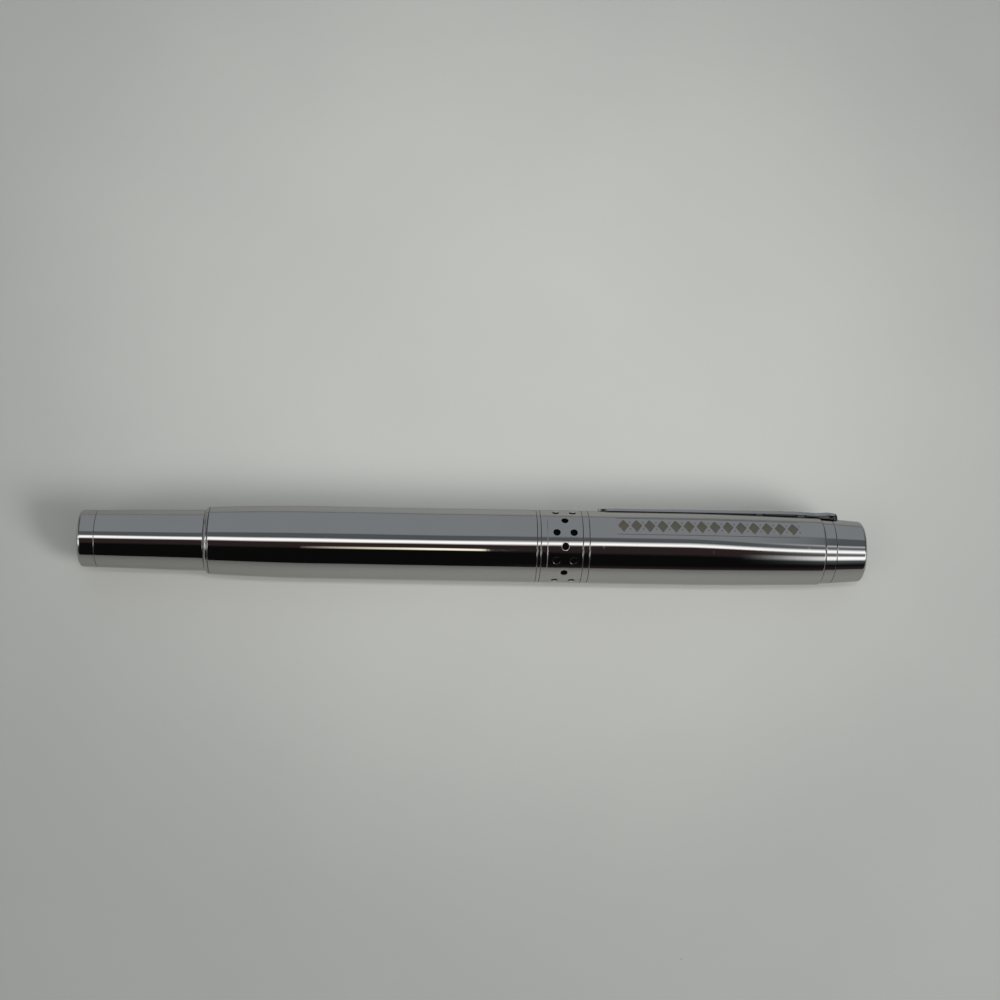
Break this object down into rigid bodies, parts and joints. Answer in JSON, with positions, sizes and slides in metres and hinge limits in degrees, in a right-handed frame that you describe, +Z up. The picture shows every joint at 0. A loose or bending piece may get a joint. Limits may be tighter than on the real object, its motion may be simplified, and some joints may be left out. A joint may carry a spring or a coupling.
{
  "type": "capped rollerball pen",
  "caption": "Slim chrome-plated metal rollerball pen with a stepped tail, a pull-off cap with a sprung clip and a pierced band, and a screw-out grip section holding a sprung refill.",
  "frame": {"origin": "centre of the flat end face of the tail, on the pen's axis", "axes": "+X along the pen towards the top of the cap, +Z up as the pen lies on a table, clip on the +Y side"},
  "size_m": [0.137, 0.0138, 0.0128],
  "materials": {
    "chrome": "bright chrome plate on brass",
    "brass": "turned, unplated",
    "steel": "satin",
    "black_plastic": "satin black, moulded",
    "grey_plastic": "moulded",
    "rubber": "matte black"
  },
  "bodies": {
    "barrel": {"tail_plug": "chrome", "tail_tube": "chrome", "step_ring": "chrome", "tail_guide": "grey_plastic", "barrel_bushing": "brass", "refill_spring": "steel", "barrel_tube": "chrome", "barrel_insert": "brass"},
    "trim_ring": {"trim_ring": "chrome"},
    "section": {"section_core": "steel", "seal_ring": "rubber", "grip_sleeve": "black_plastic", "grip_ring": "chrome", "nose_cone": "chrome"},
    "refill": {"refill_plug": "grey_plastic", "refill_tube": "steel", "refill_holder": "grey_plastic", "refill_point": "steel"},
    "writing_ball": {"writing_ball": "steel"},
    "cap_liner": {"cap_liner": "black_plastic"},
    "cap": {"cap_band": "chrome", "cap_band_ring": "chrome", "cap_tube": "chrome", "cap_collar": "chrome", "finial": "chrome", "clip_key": "brass"},
    "clip": {"clip": "chrome"}
  },
  "joints": [
    {"name": "section_advance", "type": "slide", "parent": "barrel", "child": "trim_ring", "axis": [1, 0, 0], "range_m": [0, 0.003]},
    {"name": "section_turn", "type": "hinge", "parent": "trim_ring", "child": "section", "pos_m": [0.08, 0, 0], "axis": [1, 0, 0], "range_deg": [0, 1440]},
    {"name": "refill_push", "type": "slide", "parent": "trim_ring", "child": "refill", "axis": [1, 0, 0], "range_m": [-0.002, 0], "stiffness_N_per_m": 250, "springref_m": 0.002, "deforming": ["refill_spring"]},
    {"name": "ball_roll", "type": "hinge", "parent": "refill", "child": "writing_ball", "pos_m": [0.12365, 0, 0], "axis": [0, 1, 0], "continuous": true},
    {"name": "cap_pull", "type": "slide", "parent": "trim_ring", "child": "cap_liner", "axis": [1, 0, 0], "range_m": [0, 0.05]},
    {"name": "cap_swivel", "type": "hinge", "parent": "cap_liner", "child": "cap", "pos_m": [0.08, 0, 0], "axis": [1, 0, 0], "continuous": true},
    {"name": "clip_flex", "type": "hinge", "parent": "cap", "child": "clip", "pos_m": [0.13257, 0.00433, 0.00092], "axis": [0, 0.2079, -0.9781], "range_deg": [0, 3], "stiffness_Nm_per_rad": 3}
  ],
  "couplings": [
    {"joint": "section_turn", "follows": "section_advance", "rad_per_m": 8377.6}
  ]
}
